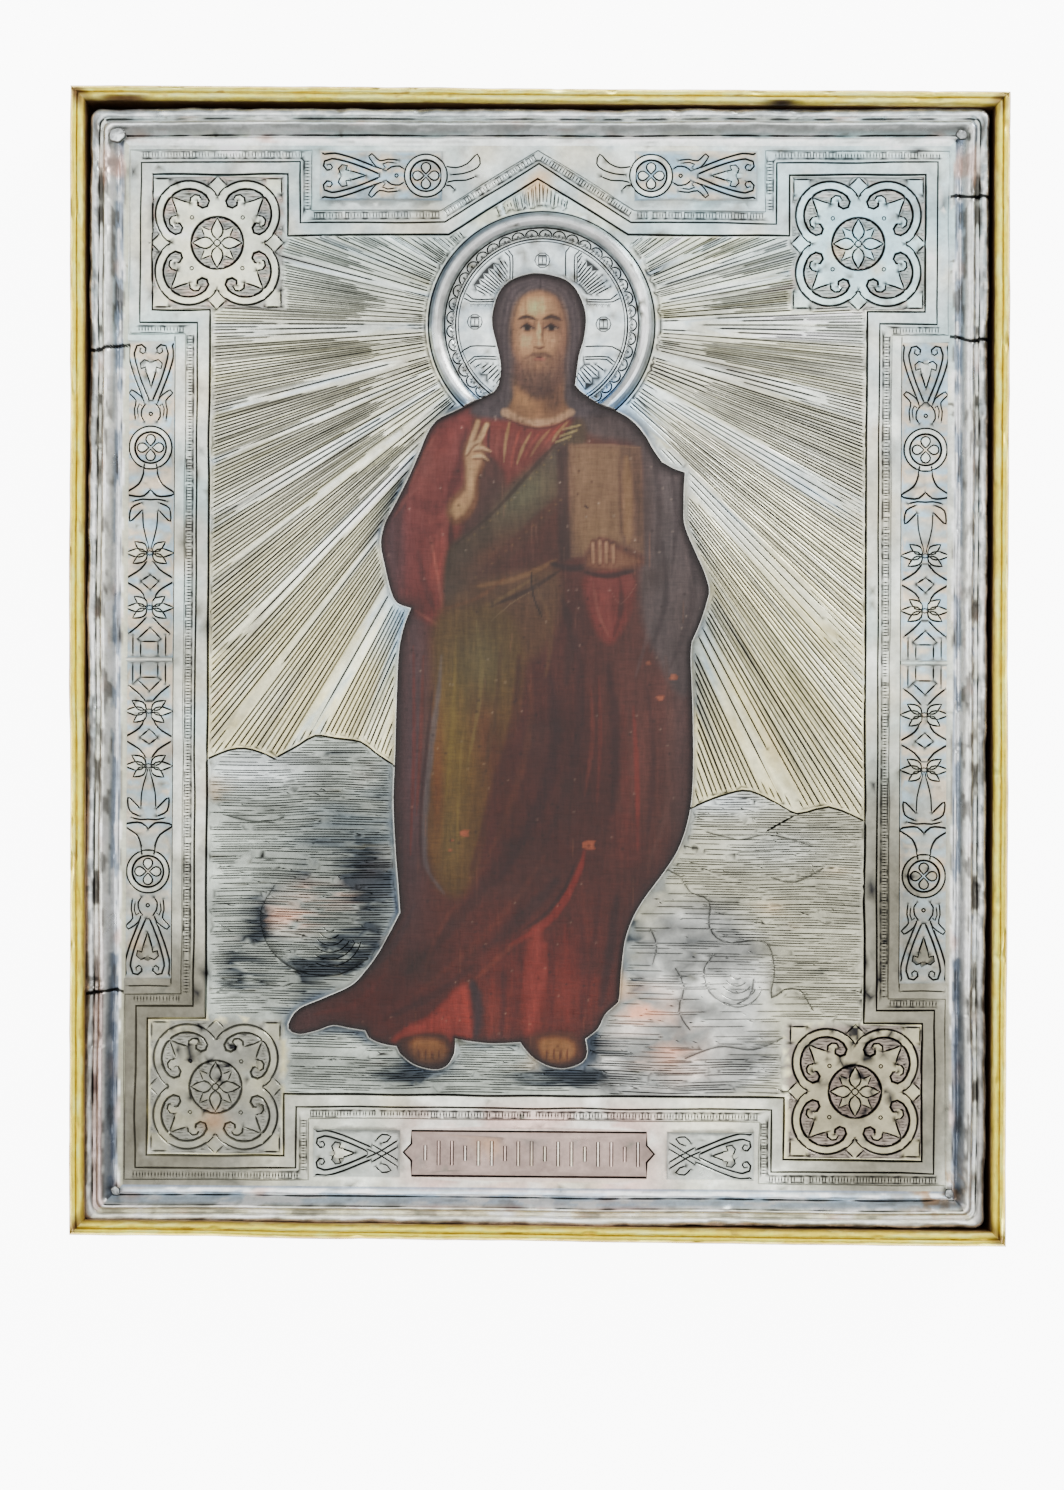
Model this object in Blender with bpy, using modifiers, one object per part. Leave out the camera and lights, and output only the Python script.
"""Icon panel: a painted wooden board under an embossed silver cover, in a narrow gilt frame.

The panel lies on its back. X runs across it, Y towards its top edge and Z out of its face.
The origin is at the middle of the frame's underside. Lengths are metres.
"""

import math

import bmesh
import bpy
from mathutils import Matrix, Vector

MM = 0.001

# Wooden board
BOARD_W = 178 * MM
BOARD_H = 222 * MM
BOARD_T = 20 * MM
BOARD_EDGE = 0.8 * MM

# Silver cover
SHEET = 0.5 * MM
FIT_GAP = 0.3 * MM
FLANGE = 17 * MM
CORNER_R = 2.4 * MM
MOULDING_W = 7.4 * MM
MOULDING_H = 2.0 * MM

# Frame
RAIL_FACE = 3.2 * MM
RAIL_RISE = 1.0 * MM
LEDGE_W = 5 * MM
LEDGE_T = 4 * MM
SIDE_PLAY = 1.2 * MM
TOP_PLAY = 1.2 * MM
MITRE_GAP = 0.3 * MM

# Nails near the four corners of the cover
NAIL_SHANK_R = 0.5 * MM
NAIL_BITE = 9 * MM
NAIL_HEAD_R = {
    "top_left": 1.65 * MM,
    "top_right": 1.1 * MM,
    "bottom_left": 0.9 * MM,
    "bottom_right": 0.95 * MM,
}
NAIL_INSET = {
    "top_left": (5.4 * MM, 5.9 * MM),
    "top_right": (5.5 * MM, 5.7 * MM),
    "bottom_left": (6.4 * MM, 6.5 * MM),
    "bottom_right": (7.1 * MM, 7.3 * MM),
}

# Border layout of the cover
BAND = 2.4 * MM
EDGE_BAND = 4.8 * MM
CORNER_SQUARE = 27.2 * MM
SIDE_STRIP = 16.4 * MM
TOP_STRIP = 17.1 * MM
STRIP_PANEL = 9.3 * MM
GABLE_HALF = 18 * MM
GABLE_RISE = 11.3 * MM

# Relief heights above the sheet, and how deep each raised form is rooted in it
HIGH_RELIEF = 0.45 * MM
BAND_RELIEF = 0.38 * MM
LOW_RELIEF = 0.3 * MM
FLAT_RELIEF = 0.18 * MM
ROOT = 0.25 * MM

# Window for the painted figure
FIGURE_MARGIN = 31.2 * MM
FIGURE_H = BOARD_H - 2 * FIGURE_MARGIN

# Halo, round the figure's head
HALO_X = 0.5 * MM
HALO_Y = FIGURE_H * 0.43234
HALO_R = 22.3 * MM
HALO_RING_W = 3.3 * MM
HALO_RING_H = 1.7 * MM
SCALLOPS = 36
SCALLOP_BAND = 2.1 * MM
RAYS = 44
RAY_CLEAR = 0.9 * MM

RIZA_W = BOARD_W + 2 * (FIT_GAP + SHEET)
RIZA_H = BOARD_H + 2 * (FIT_GAP + SHEET)
PLATEAU_X = RIZA_W / 2 - MOULDING_W
PLATEAU_Y = RIZA_H / 2 - MOULDING_W
FRAME_IN_W = RIZA_W + 2 * SIDE_PLAY
FRAME_IN_H = RIZA_H + TOP_PLAY + FIT_GAP
ICON_Y = (FIT_GAP - TOP_PLAY) / 2
BOARD_Z = LEDGE_T + FIT_GAP
SHEET_Z = BOARD_Z + BOARD_T + FIT_GAP
FACE_Z = SHEET_Z + SHEET
FRAME_D = FACE_Z + MOULDING_H + RAIL_RISE


def clear_scene():
    for old in list(bpy.data.objects):
        bpy.data.objects.remove(old, do_unlink=True)


def new_collection(name):
    made = bpy.data.collections.new(name)
    bpy.context.scene.collection.children.link(made)
    return made


def material(name, colour, roughness, metallic):
    made = bpy.data.materials.new(name)
    made.use_nodes = True
    shader = made.node_tree.nodes["Principled BSDF"]
    shader.inputs["Base Color"].default_value = (*colour, 1)
    shader.inputs["Roughness"].default_value = roughness
    shader.inputs["Metallic"].default_value = metallic
    return made


def mesh_object(name, mesh, collection):
    made = bpy.data.objects.new(name, mesh)
    collection.objects.link(made)
    return made


def helper(made):
    made.hide_render = True
    made.display_type = "WIRE"
    return made


# Outlines, as lists of (x, y) in metres


def scaled(points, scale):
    return [(x * scale, y * scale) for x, y in points]


def moved(points, dx, dy, angle=0.0, mirror_y=False):
    """The points mirrored across their own X axis if asked, then turned and shifted."""
    c, s = math.cos(angle), math.sin(angle)
    flip = -1 if mirror_y else 1
    return [(dx + x * c - flip * y * s, dy + x * s + flip * y * c) for x, y in points]


def circle(x, y, radius, count, start=0.0):
    turns = [start + 2 * math.pi * k / count for k in range(count)]
    return [(x + radius * math.cos(a), y + radius * math.sin(a)) for a in turns]


def box_outline(x0, y0, x1, y1):
    return [(x0, y0), (x1, y0), (x1, y1), (x0, y1)]


def leaf(x, y, length, half_width, angle, steps=2):
    """A pointed oval from its base at (x, y), lying along the angle."""
    left = []
    right = []
    for k in range(1, steps):
        share = k / steps
        side = half_width * math.sin(math.pi * share ** 0.8)
        left.append((length * share, side))
        right.append((length * share, -side))
    return moved([(0, 0), *right, (length, 0), *reversed(left)], x, y, angle)


def ribbon(line, half_width):
    """A band of even width around an open line."""
    left, right = [], []
    for k, (x, y) in enumerate(line):
        ax, ay = line[max(k - 1, 0)]
        bx, by = line[min(k + 1, len(line) - 1)]
        size = math.hypot(bx - ax, by - ay)
        nx, ny = -(by - ay) / size, (bx - ax) / size
        left.append((x + nx * half_width, y + ny * half_width))
        right.append((x - nx * half_width, y - ny * half_width))
    return right + left[::-1]


def smooth_closed(stretches, steps):
    """A closed outline: each stretch is a smooth line through its points, with a corner at its ends."""
    outline = []
    for k, stretch in enumerate(stretches):
        points = [*stretch, stretches[(k + 1) % len(stretches)][0]]
        for i in range(len(points) - 1):
            p0 = Vector(points[max(i - 1, 0)])
            p1, p2 = Vector(points[i]), Vector(points[i + 1])
            p3 = Vector(points[min(i + 2, len(points) - 1)])
            for step in range(steps):
                t = step / steps
                bend = 2 * p1 + (p2 - p0) * t
                bend += (2 * p0 - 5 * p1 + 4 * p2 - p3) * t * t
                bend += (3 * p1 - p0 - 3 * p2 + p3) * t ** 3
                outline.append(tuple(bend / 2))
    return outline


def offset_outline(points, distance):
    """A closed counter-clockwise outline moved outwards, with mitred corners."""
    made = []
    count = len(points)
    for k in range(count):
        before, here, after = (Vector(points[(k + d) % count]) for d in (-1, 0, 1))
        first = (here - before).normalized()
        second = (after - here).normalized()
        n1 = Vector((first.y, -first.x))
        n2 = Vector((second.y, -second.x))
        made.append(tuple(here + (n1 + n2) * distance / (1 + n1.dot(n2))))
    return made


def hits(origin, angle, outline):
    """Distances at which a ray from the origin crosses a closed outline, in order."""
    dx, dy = math.cos(angle), math.sin(angle)
    found = []
    for k, (ax, ay) in enumerate(outline):
        bx, by = outline[(k + 1) % len(outline)]
        ex, ey = bx - ax, by - ay
        cross = dx * ey - dy * ex
        if abs(cross) < 1e-12:
            continue
        fx, fy = ax - origin[0], ay - origin[1]
        along = (fx * ey - fy * ex) / cross
        share = (fx * dy - fy * dx) / cross
        if along > 0 and 0 <= share < 1:
            found.append(along)
    return sorted(found)


# The painted figure's outline, in millimetres on a figure 159.6 mm tall, clockwise from the head
FIGURE_DRAWN_H = 159.6
FIGURE_STRETCHES = [
    [(7.6, 56.2), (8.0, 61), (9.5, 68), (9.3, 73.8), (5.8, 78), (0.3, 78.8), (-5.5, 77.3),
     (-8.9, 73.2), (-9.2, 67), (-7.9, 60.5), (-7.8, 57)],
    [(-9, 54.9), (-14.5, 52), (-19.2, 49.5), (-22.2, 45), (-26.3, 36.7), (-30.2, 30),
     (-31.3, 24.5), (-29.8, 17.5), (-28, 13)],
    [(-25.3, 11.6), (-27, 4), (-28.3, -14), (-28.3, -33)],
    [(-27.3, -49.3), (-30.2, -55.5), (-35.5, -62.8), (-43, -66.8), (-48.2, -70.8),
     (-48.4, -73.9), (-43, -73), (-38, -72.2)],
    [(-33.9, -73.2), (-31.5, -75.5)],
    [(-27.3, -76.5), (-23.8, -79.7), (-18.7, -80.8), (-15.7, -78)],
    [(-16, -74.7), (-9.5, -75.7)],
    [(-2.9, -75.1), (0.2, -79), (6, -80.4), (10.3, -78)],
    [(10.2, -74.8), (13.4, -71.8)],
    [(17.2, -67), (17.6, -59), (20.5, -49), (27.2, -39), (31, -26), (31.4, -8)],
    [(31.2, 3.8), (34.2, 12), (33.9, 18.8), (31, 25)],
    [(29.6, 28), (29.6, 34)],
    [(29.6, 38.9), (26.2, 40)],
    [(25, 41), (21, 47.3), (15.5, 51), (11, 53.7)],
]


def figure_outline():
    outline = smooth_closed(FIGURE_STRETCHES, 2)
    return scaled(outline, FIGURE_H / FIGURE_DRAWN_H)


# Ground of the cover: the field and its bands


def field_outline():
    """The engraved field with its four corner squares and the gable over the halo."""
    x_square = PLATEAU_X - EDGE_BAND
    y_square = PLATEAU_Y - EDGE_BAND
    x_inner = x_square - CORNER_SQUARE
    y_inner = y_square - CORNER_SQUARE
    x_side = PLATEAU_X - SIDE_STRIP
    y_top = PLATEAU_Y - TOP_STRIP
    right = [
        (x_inner, -y_top),
        (x_inner, -y_square),
        (x_square, -y_square),
        (x_square, -y_inner),
        (x_side, -y_inner),
        (x_side, y_inner),
        (x_square, y_inner),
        (x_square, y_square),
        (x_inner, y_square),
        (x_inner, y_top),
        (GABLE_HALF, y_top),
    ]
    left = [(-x, y) for x, y in reversed(right)]
    return [*right, (0, y_top + GABLE_RISE), *left]


def band_outlines():
    field = field_outline()
    return [field, offset_outline(field, BAND)]


def strip_frames():
    """The thin raised band round each ornament strip, as open lines."""
    clear = 2 * BAND + BAND / 2
    x_strip = PLATEAU_X - SIDE_STRIP + clear
    y_end = PLATEAU_Y - EDGE_BAND - CORNER_SQUARE - clear
    x_panel = PLATEAU_X - EDGE_BAND - CORNER_SQUARE - clear
    y_panel = PLATEAU_Y - TOP_STRIP + clear
    gable_slope = GABLE_RISE / GABLE_HALF
    x_gable = (PLATEAU_Y - BAND - y_panel) / gable_slope
    lines = []
    for side in (-1, 1):
        lines.append(
            [
                (side * PLATEAU_X, y_end),
                (side * x_strip, y_end),
                (side * x_strip, -y_end),
                (side * PLATEAU_X, -y_end),
            ]
        )
        lines.append(
            [
                (side * x_panel, PLATEAU_Y),
                (side * x_panel, y_panel),
                (side * GABLE_HALF, y_panel),
                (side * max(GABLE_HALF - x_gable, BAND), PLATEAU_Y - BAND),
            ]
        )
    lines.append(
        [(-x_panel, -PLATEAU_Y), (-x_panel, -y_panel), (x_panel, -y_panel), (x_panel, -PLATEAU_Y)]
    )
    return lines


# Corner ornament: a quatrefoil with scrolled lobes round a flower, drawn in millimetres
LOBE_SHIFT = 5.75
LOBE_R = 6.8
LOBE_IN_R = 5.1
MEDALLION_R = 5.2


def quatrefoil_outline(count=36):
    outline = []
    for k in range(count):
        angle = 2 * math.pi * k / count
        quarter = math.pi / 4 + math.pi / 2 * (4 * k // count)
        shift = LOBE_SHIFT * math.sqrt(2)
        cx, cy = shift * math.cos(quarter), shift * math.sin(quarter)
        reach = hits((0, 0), angle, circle(cx, cy, LOBE_R, 48))[-1]
        outline.append((reach * math.cos(angle), reach * math.sin(angle)))
    return outline


def lobe_pocket():
    """One of a lobe's two sunk crescents, from the spear's tip to the scroll, on the lobe's +X diagonal."""
    arc = [math.radians(a) for a in (5, 42, 80)]
    outer = [(LOBE_IN_R * math.cos(a), LOBE_IN_R * math.sin(a)) for a in arc]
    scroll = [(4.2, 106), (2.9, 92), (2.5, 36)]
    inner = [(r * math.cos(math.radians(a)), r * math.sin(math.radians(a))) for r, a in scroll]
    return outer + inner


def star(x, y, tips, tip_r, notch_r, start=0.0):
    """Pointed petals round (x, y) in one outline."""
    outline = []
    for k in range(2 * tips):
        radius = notch_r if k % 2 else tip_r
        angle = start + math.pi * k / tips
        outline.append((x + radius * math.cos(angle), y + radius * math.sin(angle)))
    return outline


def corner_ornament():
    """(high, low) outlines round the ornament's own middle, in millimetres."""
    high = [quatrefoil_outline(), circle(0, 0, MEDALLION_R, 16)]
    for k in range(4):
        angle = math.pi / 4 + math.pi / 2 * k
        shift = LOBE_SHIFT * math.sqrt(2)
        cx, cy = shift * math.cos(angle), shift * math.sin(angle)
        for mirror in (False, True):
            high.append(moved(lobe_pocket(), cx, cy, angle, mirror))
    low = [star(0, 0, 8, 4.6, 2.5)]
    for k in range(4):
        angle = math.pi / 2 * k
        low.append(moved([(10.6, -1.9), (13.2, 0), (10.6, 1.9), (9.9, 0)], 0, 0, angle))
        square = box_outline(9.6, 9.6, 12.6, 12.6)
        low.append(moved(square, 0, 0, angle))
    return high, low


# Strip ornament, drawn in millimetres along a strip whose outer end is at 0
STRIP_DRAWN_HALF = 64


def strip_end():
    """(high, low) outlines of a strip's outer 32 mm: lyre, knot, ring with a flower, and bell."""
    high, low = [], []
    for side in (-1, 1):
        lyre = [(2.4, 1.8), (0.7, 2.6), (1.9, 4.1), (7.4, 3.1), (12.3, 0.75)]
        high.append(ribbon([(t, s * side) for t, s in lyre], 0.5))
        low.append(leaf(13.6, 1.9 * side, 3.9, 0.8, math.radians(150) * side))
    low.append(leaf(4.8, 0, 4.8, 1.0, 0))
    high.append(circle(14.8, 0, 1.6, 8))
    high.append(circle(21.2, 0, 4.3, 14))
    high.append(circle(21.2, 0, 3.1, 10))
    low.append(star(21.2, 0, 4, 2.5, 1.0))
    bell = [(27.9, 1.1), (30.6, 4.2), (31.8, 1.2)]
    low.append([(25.9, 0), *bell, *[(t, -s) for t, s in reversed(bell)]])
    return high, low


def strip_middle():
    """Low outlines of a side strip from the bell to its middle: lily, palmettes, lozenge, cartouche."""
    low = [leaf(41, 0, 8.4, 1.4, math.pi)]
    for side in (-1, 1):
        low.append(leaf(35.3, 1.5 * side, 3.2, 0.9, math.radians(48) * side))
    for t in (43.4, 53.4):
        low.append(star(t, 0, 6, 3.9, 1.5, math.pi / 6))
    low.append(circle(48.4, 0, 1.9, 4))
    return low


def cartouche():
    """The middle of a side strip: a pointed frame round a plain panel, drawn round its own middle."""
    frame = [(-5.8, 0), (-3.6, 3), (3.6, 3), (5.8, 0), (3.6, -3), (-3.6, -3)]
    inner = [(t * 0.8, s * 0.75) for t, s in frame]
    return [frame, inner, box_outline(-2.9, -1.4, 2.9, 1.4)]


# Inscription plate: two rows' height of plain strokes, none of them a letter
PLATE_HALF = 23.5
PLATE_DEPTH = 8.6
STROKE_STEP = 2.7


def inscription_strokes():
    strokes = []
    count = int(2 * (PLATE_HALF - 3) / STROKE_STEP)
    for k in range(count + 1):
        x = -PLATE_HALF + 3 + k * STROKE_STEP
        reach = 2.5 if k % 3 else 1.6
        strokes.append(box_outline(x - 0.22, -reach, x + 0.22, reach))
    return strokes


# Mountains at the foot of the field, in millimetres
LEFT_RIDGE = [(-70, -21.5), (-62, -18.4), (-57.5, -17.3), (-51.3, -19.8), (-43.5, -14.4),
              (-35.5, -15), (-28, -21)]
RIGHT_RIDGE = [(30, -28), (36, -26), (42, -24.6), (51.3, -29.6), (58, -27.6), (70, -31)]


def mountain_outline():
    """Both ridges and the ground below them. It runs under the bands and under the figure."""
    reach_x = PLATEAU_X - SIDE_STRIP + BAND / 2
    y_inner = PLATEAU_Y - EDGE_BAND - CORNER_SQUARE
    x_inner = PLATEAU_X - EDGE_BAND - CORNER_SQUARE
    y_low = PLATEAU_Y - TOP_STRIP + BAND / 2
    ridge = scaled(LEFT_RIDGE[1:] + RIGHT_RIDGE[:-1], MM)
    left = (-reach_x, LEFT_RIDGE[0][1] * MM)
    right = (reach_x, RIGHT_RIDGE[-1][1] * MM)
    return [
        (-reach_x, FIT_GAP - y_inner),
        (-x_inner, -y_inner),
        (-x_inner, -y_low),
        (x_inner, -y_low),
        (x_inner, -y_inner),
        (reach_x, FIT_GAP - y_inner),
        right,
        *reversed(ridge),
        left,
    ]


# Halo


def halo_spot(x, y):
    return (HALO_X + x, HALO_Y + y)


def scallop_outlines():
    """A ring of half rounds just inside the halo's roll, and the plain line inside them."""
    outer_r = HALO_R - HALO_RING_W - FIT_GAP
    inner_r = outer_r - SCALLOP_BAND
    outline = []
    for k in range(SCALLOPS):
        for share, radius in ((0, 0.35), (0.3, 1.0), (0.7, 1.0)):
            angle = 2 * math.pi * (k + share) / SCALLOPS
            reach = inner_r + (outer_r - inner_r) * radius
            outline.append(halo_spot(reach * math.cos(angle), reach * math.sin(angle)))
    return [outline, circle(HALO_X, HALO_Y, inner_r, 2 * SCALLOPS // 3)]


def nimbus_arms():
    """The three arms of the cross inside the halo, as pairs of raised ribs."""
    ribs = []
    reach = HALO_R - HALO_RING_W - FIT_GAP - SCALLOP_BAND - 2 * FIT_GAP
    half = reach / 3
    for turn in (0, math.pi / 2, math.pi):
        for side in (-1, 1):
            start = (half * 1.3, half * side)
            knee = (reach * 0.8, half * side)
            tip = (reach * 0.84, half * 1.35 * side)
            ribs.append(moved(ribbon([start, knee, tip], SHEET), HALO_X, HALO_Y, turn))
    return ribs


def beam_reach(angle, figure):
    """Where a beam at this angle starts, outside the halo and figure, and where it has to stop."""
    centre = (HALO_X, HALO_Y)
    half = CORNER_SQUARE / 2
    first = max([HALO_R, *hits(centre, angle, figure)]) + RAY_CLEAR
    stops = hits(centre, angle, field_outline()) + hits(centre, angle, mountain_outline())
    for cx, cy in corner_middles():
        square = box_outline(cx - half, cy - half, cx + half, cy + half)
        stops += hits(centre, angle, square)
    return first, min([d for d in stops if d > HALO_R]) - RAY_CLEAR


def ray_outlines(figure):
    """Plain beams that widen from the halo to the field's edge, over the mountains."""
    beams = []
    for k in range(RAYS):
        angle = 2 * math.pi * (k + 0.5) / RAYS
        width = math.radians((1.5, 0.8, 1.1, 0.6)[k % 4])
        sides = [beam_reach(angle + turn, figure) for turn in (-width, 0, width)]
        first = max(side[0] for side in sides)
        last = min(side[1] for side in sides)
        if last - first < 2 * CORNER_R:
            continue
        beam = []
        for reach, turn in ((first, -width), (last, -width), (last, width), (first, width)):
            dx, dy = reach * math.cos(angle + turn), reach * math.sin(angle + turn)
            beam.append((HALO_X + dx, HALO_Y + dy))
        beams.append(beam)
    return beams


def corner_middles():
    x = PLATEAU_X - EDGE_BAND - CORNER_SQUARE / 2
    y = PLATEAU_Y - EDGE_BAND - CORNER_SQUARE / 2
    return [(sx * x, sy * y) for sx in (-1, 1) for sy in (-1, 1)]


# Solids


def lofted(name, rings, collection):
    """A closed solid through rings of points that match one another, capped at both ends."""
    mesh = bpy.data.meshes.new(name)
    bm = bmesh.new()
    loops = [[bm.verts.new(p) for p in ring] for ring in rings]
    count = len(loops[0])
    for low, high in zip(loops, loops[1:]):
        for k in range(count):
            bm.faces.new((low[k], low[(k + 1) % count], high[(k + 1) % count], high[k]))
    bm.faces.new(list(reversed(loops[0])))
    bm.faces.new(loops[-1])
    bmesh.ops.recalc_face_normals(bm, faces=bm.faces[:])
    bm.to_mesh(mesh)
    bm.free()
    return mesh_object(name, mesh, collection)


def rounded_box(half_x, half_y, radius, z, steps=3):
    """A ring of points round a rectangle with round corners, counter-clockwise."""
    ring = []
    for k, (sx, sy) in enumerate(((1, 1), (-1, 1), (-1, -1), (1, -1))):
        for step in range(steps + 1):
            angle = math.pi / 2 * (k + step / steps)
            x = sx * (half_x - radius) + radius * math.cos(angle)
            y = sy * (half_y - radius) + radius * math.sin(angle)
            ring.append((x, y, z))
    return ring


def plates(name, outlines, low, high, collection):
    """Flat plates from low to high, with each outline that lies inside another cut out of it."""
    curve = bpy.data.curves.new(name, "CURVE")
    curve.dimensions = "2D"
    curve.fill_mode = "BOTH"
    curve.extrude = (high - low) / 2
    for outline in outlines:
        spline = curve.splines.new("POLY")
        spline.points.add(len(outline) - 1)
        for point, (x, y) in zip(spline.points, outline):
            point.co = (x, y, 0, 1)
        spline.use_cyclic_u = True
    drawn = mesh_object(name + "_drawn", curve, collection)
    drawn.location.z = (low + high) / 2
    bpy.context.view_layer.update()
    graph = bpy.context.evaluated_depsgraph_get()
    mesh = bpy.data.meshes.new_from_object(drawn.evaluated_get(graph))
    mesh.transform(drawn.matrix_world)
    bm = bmesh.new()
    bm.from_mesh(mesh)
    bmesh.ops.remove_doubles(bm, verts=bm.verts[:], dist=1e-6)
    bmesh.ops.recalc_face_normals(bm, faces=bm.faces[:])
    bm.to_mesh(mesh)
    bm.free()
    bpy.data.objects.remove(drawn)
    return helper(mesh_object(name, mesh, collection))


def turned(name, profile, x, y, collection, steps=48):
    """A profile of (radius, z), counted down its outer side, turned about an upright axis at (x, y)."""
    mesh = bpy.data.meshes.new(name)
    closed = len(profile)
    edges = [(k, (k + 1) % closed) for k in range(closed)]
    mesh.from_pydata([(r, 0, z) for r, z in profile], edges, [])
    made = mesh_object(name, mesh, collection)
    screw = made.modifiers.new("turn", "SCREW")
    screw.angle = 2 * math.pi
    screw.steps = screw.render_steps = steps
    screw.use_merge_vertices = True
    screw.merge_threshold = 0.00001
    made.location = (x, y, 0)
    return helper(made)


def boolean(target, tool, operation):
    step = target.modifiers.new(operation.lower() + "_" + tool.name, "BOOLEAN")
    step.operation = operation
    step.object = tool
    step.solver = "EXACT"


def moulding_profile():
    """(distance in from the cover's edge, height over the sheet) down the cover's rolled border."""
    shares = [
        (0.00, -0.25),
        (0.04, 0.30),
        (0.13, 0.62),
        (0.24, 0.52),
        (0.31, 0.22),
        (0.38, 0.66),
        (0.50, 1.00),
        (0.64, 0.90),
        (0.76, 0.42),
        (0.84, 0.00),
    ]
    return [(u * MOULDING_W, v * MOULDING_H) for u, v in shares]


def cover_body(collection):
    """The plain sheet: rolled border, flat face and flanges down the board's edges."""
    half_x, half_y = RIZA_W / 2, RIZA_H / 2
    hem_z = FACE_Z - FLANGE
    inside_x, inside_y = half_x - SHEET, half_y - SHEET
    rings = [rounded_box(inside_x, inside_y, CORNER_R - SHEET, SHEET_Z)]
    rings.append(rounded_box(inside_x, inside_y, CORNER_R - SHEET, hem_z))
    rings.append(rounded_box(half_x, half_y, CORNER_R, hem_z))
    for inset, rise in moulding_profile():
        radius = max(CORNER_R - inset, FIT_GAP)
        rings.append(rounded_box(half_x - inset, half_y - inset, radius, FACE_Z + rise))
    return lofted("riza", rings, collection)


def relief(collection):
    """Every raised form of the cover, one helper for each height."""
    figure = figure_outline()
    base = FACE_Z - ROOT
    high, low = [], []
    for cx, cy in corner_middles():
        ornament_high, ornament_low = corner_ornament()
        high += [moved(scaled(o, MM), cx, cy) for o in ornament_high]
        low += [moved(scaled(o, MM), cx, cy) for o in ornament_low]
    strip_y = PLATEAU_Y - EDGE_BAND - CORNER_SQUARE - 3 * BAND
    stretch = strip_y / (STRIP_DRAWN_HALF * MM)
    x_mid = PLATEAU_X - STRIP_PANEL / 2
    end_high, end_low = strip_end()
    for side in (-1, 1):
        for end in (-1, 1):
            placed = lambda o: [
                (side * x_mid + s * MM, end * (strip_y - t * MM * stretch)) for t, s in o
            ]
            high += [placed(o) for o in end_high]
            low += [placed(o) for o in end_low + strip_middle()]
        low += [[(side * x_mid + s * MM, t * MM) for t, s in o] for o in cartouche()]
    y_panel = PLATEAU_Y - (TOP_STRIP - 3 * BAND) / 2
    x_start = PLATEAU_X - EDGE_BAND - CORNER_SQUARE - 3 * BAND
    for side in (-1, 1):
        high += [
            [(side * (x_start - t * MM), y_panel + s * MM) for t, s in o] for o in end_high
        ]
        low += [[(side * (x_start - t * MM), y_panel + s * MM) for t, s in o] for o in end_low]
        high += [
            [(side * (x_start - t * MM), s * MM - y_panel) for t, s in o] for o in end_high[:2]
        ]
    low += [moved(scaled(o, MM), 0, -y_panel) for o in inscription_strokes()]
    plate = scaled(box_outline(-PLATE_HALF, -PLATE_DEPTH / 2, PLATE_HALF, PLATE_DEPTH / 2), MM)
    plate = moved(plate, 0, -y_panel)
    bands = band_outlines() + [ribbon(line, BAND / 4) for line in strip_frames()]
    bands += scallop_outlines() + nimbus_arms()
    bands += [plate, offset_outline(plate, -BAND / 4)]
    flat = [mountain_outline(), *ray_outlines(figure)]
    return [
        plates("flat_relief", flat, base, FACE_Z + FLAT_RELIEF, collection),
        plates("low_relief", low, base, FACE_Z + LOW_RELIEF, collection),
        plates("band_relief", bands, base, FACE_Z + BAND_RELIEF, collection),
        plates("high_relief", high, base, FACE_Z + HIGH_RELIEF, collection),
    ]


def halo_roll(collection):
    """The halo's raised roll, rooted in the sheet."""
    middle = HALO_R - HALO_RING_W / 2
    half = HALO_RING_W / 2
    low = FACE_Z - ROOT
    profile = [(middle + half, low)]
    for k in range(6):
        angle = math.pi * k / 5
        rise = HALO_RING_H * math.sin(angle)
        profile.append((middle + half * math.cos(angle), FACE_Z + rise))
    profile.append((middle - half, low))
    profile.reverse()
    return turned("halo_roll", profile, HALO_X, HALO_Y, collection)


def nail_places():
    places = {}
    for corner, (inset_x, inset_y) in NAIL_INSET.items():
        x = RIZA_W / 2 - inset_x
        y = RIZA_H / 2 - inset_y
        places[corner] = (-x if "left" in corner else x, -y if "bottom" in corner else y)
    return places


def nail_holes(collection):
    radius = NAIL_SHANK_R + FIT_GAP
    floor = FACE_Z - NAIL_BITE - FIT_GAP
    holes = [circle(x, y, radius, 8) for x, y in nail_places().values()]
    return plates("nail_holes", holes, floor, FRAME_D, collection)


def make_cover(parts, cutters, silver):
    cover = cover_body(parts)
    for raised in relief(cutters):
        boolean(cover, raised, "UNION")
    boolean(cover, halo_roll(cutters), "UNION")
    window = plates("window", [figure_outline()], BOARD_Z, FRAME_D, cutters)
    boolean(cover, window, "DIFFERENCE")
    boolean(cover, nail_holes(cutters), "DIFFERENCE")
    cover.data.materials.append(silver)
    return cover


def make_board(parts, cutters, wood):
    rings = []
    for inset, z in (
        (BOARD_EDGE, BOARD_Z),
        (0, BOARD_Z + BOARD_EDGE),
        (0, BOARD_Z + BOARD_T - BOARD_EDGE),
        (BOARD_EDGE, BOARD_Z + BOARD_T),
    ):
        radius = CORNER_R - SHEET - FIT_GAP
        rings.append(rounded_box(BOARD_W / 2 - inset, BOARD_H / 2 - inset, radius, z))
    board = lofted("icon_board", rings, parts)
    boolean(board, bpy.data.objects["nail_holes"], "DIFFERENCE")
    board.data.materials.append(wood)
    return board


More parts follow.
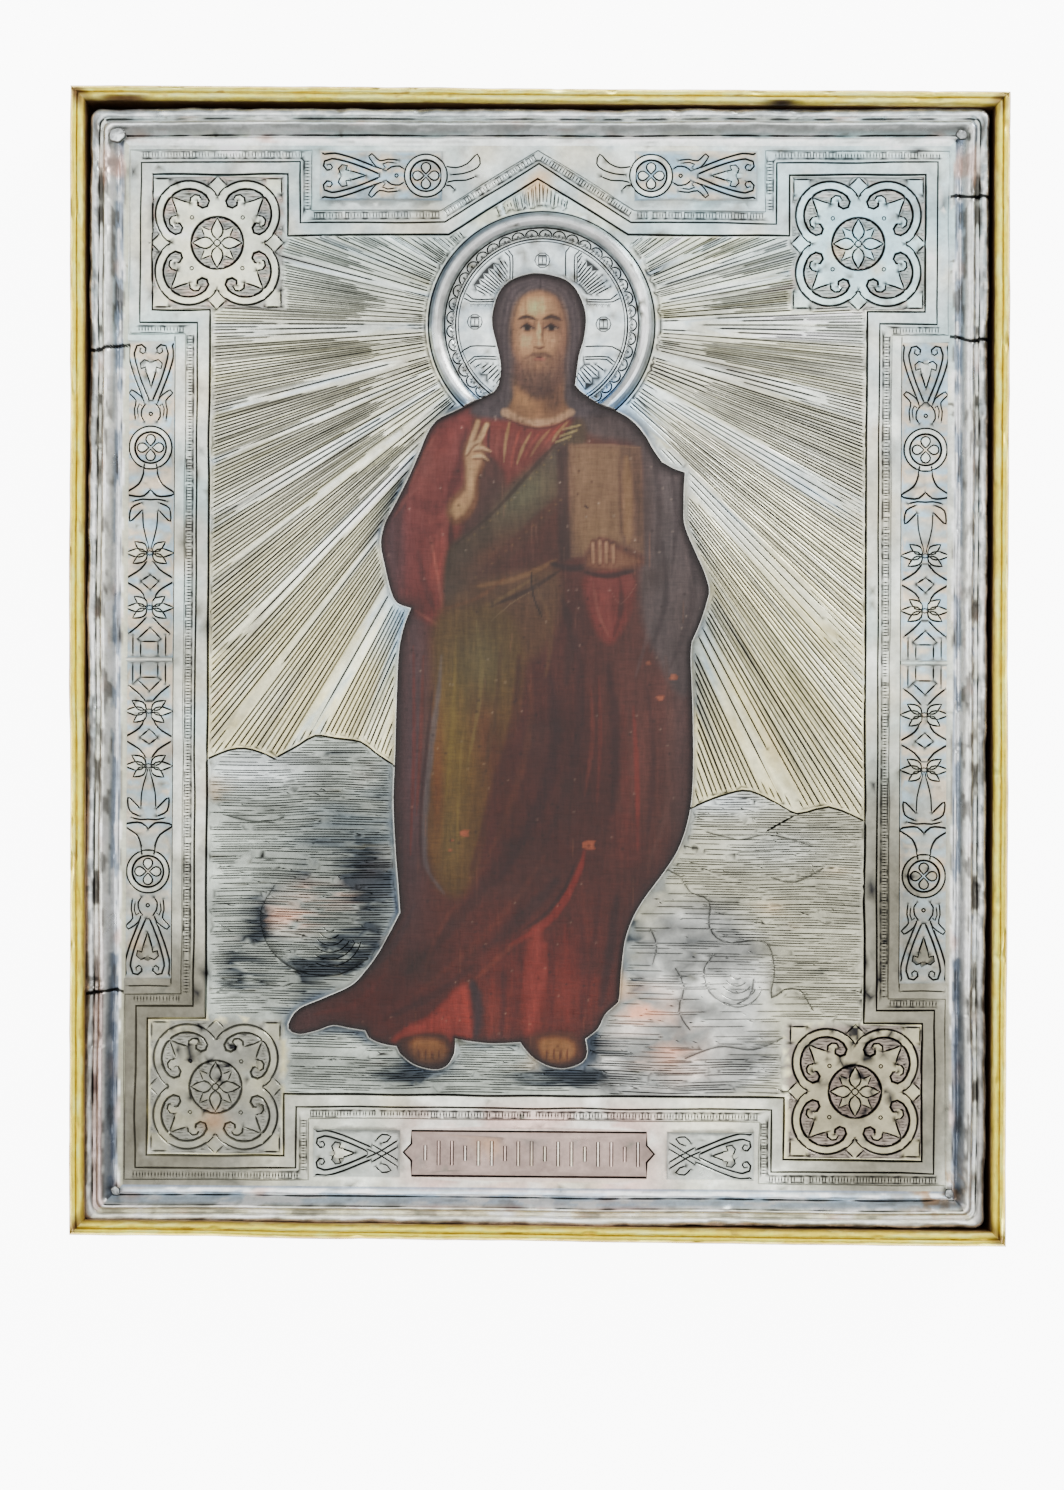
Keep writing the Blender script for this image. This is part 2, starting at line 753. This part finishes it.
def make_nail(corner, place, parts, silver):
    """A domed head on a round shank."""
    radius = NAIL_HEAD_R[corner]
    seat = FACE_Z + MOULDING_H + FIT_GAP
    rings = []
    tip = FACE_Z - NAIL_BITE
    for r, z in (
        (NAIL_SHANK_R / 2, tip),
        (NAIL_SHANK_R, tip + NAIL_SHANK_R),
        (NAIL_SHANK_R, seat),
        (radius, seat),
        (radius, seat + radius * 0.15),
        (radius * 0.8, seat + radius * 0.38),
        (radius * 0.35, seat + radius * 0.5),
    ):
        rings.append([(x, y, z) for x, y in circle(0, 0, r, 12)])
    nail = lofted("nail_" + corner, rings, parts)
    nail.location = (*place, 0)
    nail.data.materials.append(silver)
    nail.data.shade_smooth()
    nail.data.set_sharp_from_angle(angle=math.radians(40))
    return nail


def rail_profile():
    """(distance out from the frame's inner face, height): a wall with a ledge, and a beaded top."""
    w, top = RAIL_FACE, FRAME_D
    return [
        (-LEDGE_W, 0),
        (w, 0),
        (w, top - 0.45 * w),
        (0.84 * w, top - 0.16 * w),
        (0.66 * w, top - 0.03 * w),
        (0.50 * w, top - 0.11 * w),
        (0.36 * w, top),
        (0.12 * w, top - 0.02 * w),
        (0, top - 0.14 * w),
        (0, LEDGE_T),
        (-LEDGE_W, LEDGE_T),
    ]


def make_rail(name, half_across, half_along, angle, parts, gilt):
    """One side of the frame, mitred at both ends. It is modelled along X and then turned into place."""
    rings = []
    for end in (-1, 1):
        ring = []
        for out, z in rail_profile():
            reach = half_along + out - MITRE_GAP / 2
            ring.append((end * reach, -half_across - out, z))
        rings.append(ring)
    rail = lofted(name, rings, parts)
    rail.rotation_euler = (0, 0, angle)
    rail.data.materials.append(gilt)
    return rail


def make_frame(parts, gilt):
    half_x, half_y = FRAME_IN_W / 2, FRAME_IN_H / 2
    sides = (
        ("frame_rail_bottom", half_y, half_x, 0),
        ("frame_rail_right", half_x, half_y, math.pi / 2),
        ("frame_rail_top", half_y, half_x, math.pi),
        ("frame_rail_left", half_x, half_y, -math.pi / 2),
    )
    for name, across, along, angle in sides:
        make_rail(name, across, along, angle, parts, gilt)


def main():
    clear_scene()
    parts = new_collection("icon_panel")
    cutters = new_collection("cutters")
    silver = material("silver", (0.62, 0.63, 0.6), 0.38, 1.0)
    wood = material("painted_wood", (0.17, 0.07, 0.05), 0.55, 0.0)
    gilt = material("gilt", (0.75, 0.6, 0.22), 0.4, 0.6)
    make_frame(parts, gilt)
    icon = mesh_object("icon_middle", None, parts)
    pieces = [make_cover(parts, cutters, silver), make_board(parts, cutters, wood)]
    for corner, place in nail_places().items():
        pieces.append(make_nail(corner, place, parts, silver))
    for piece in [*pieces, *cutters.objects]:
        piece.parent = icon
    icon.location = (0, ICON_Y, 0)


main()
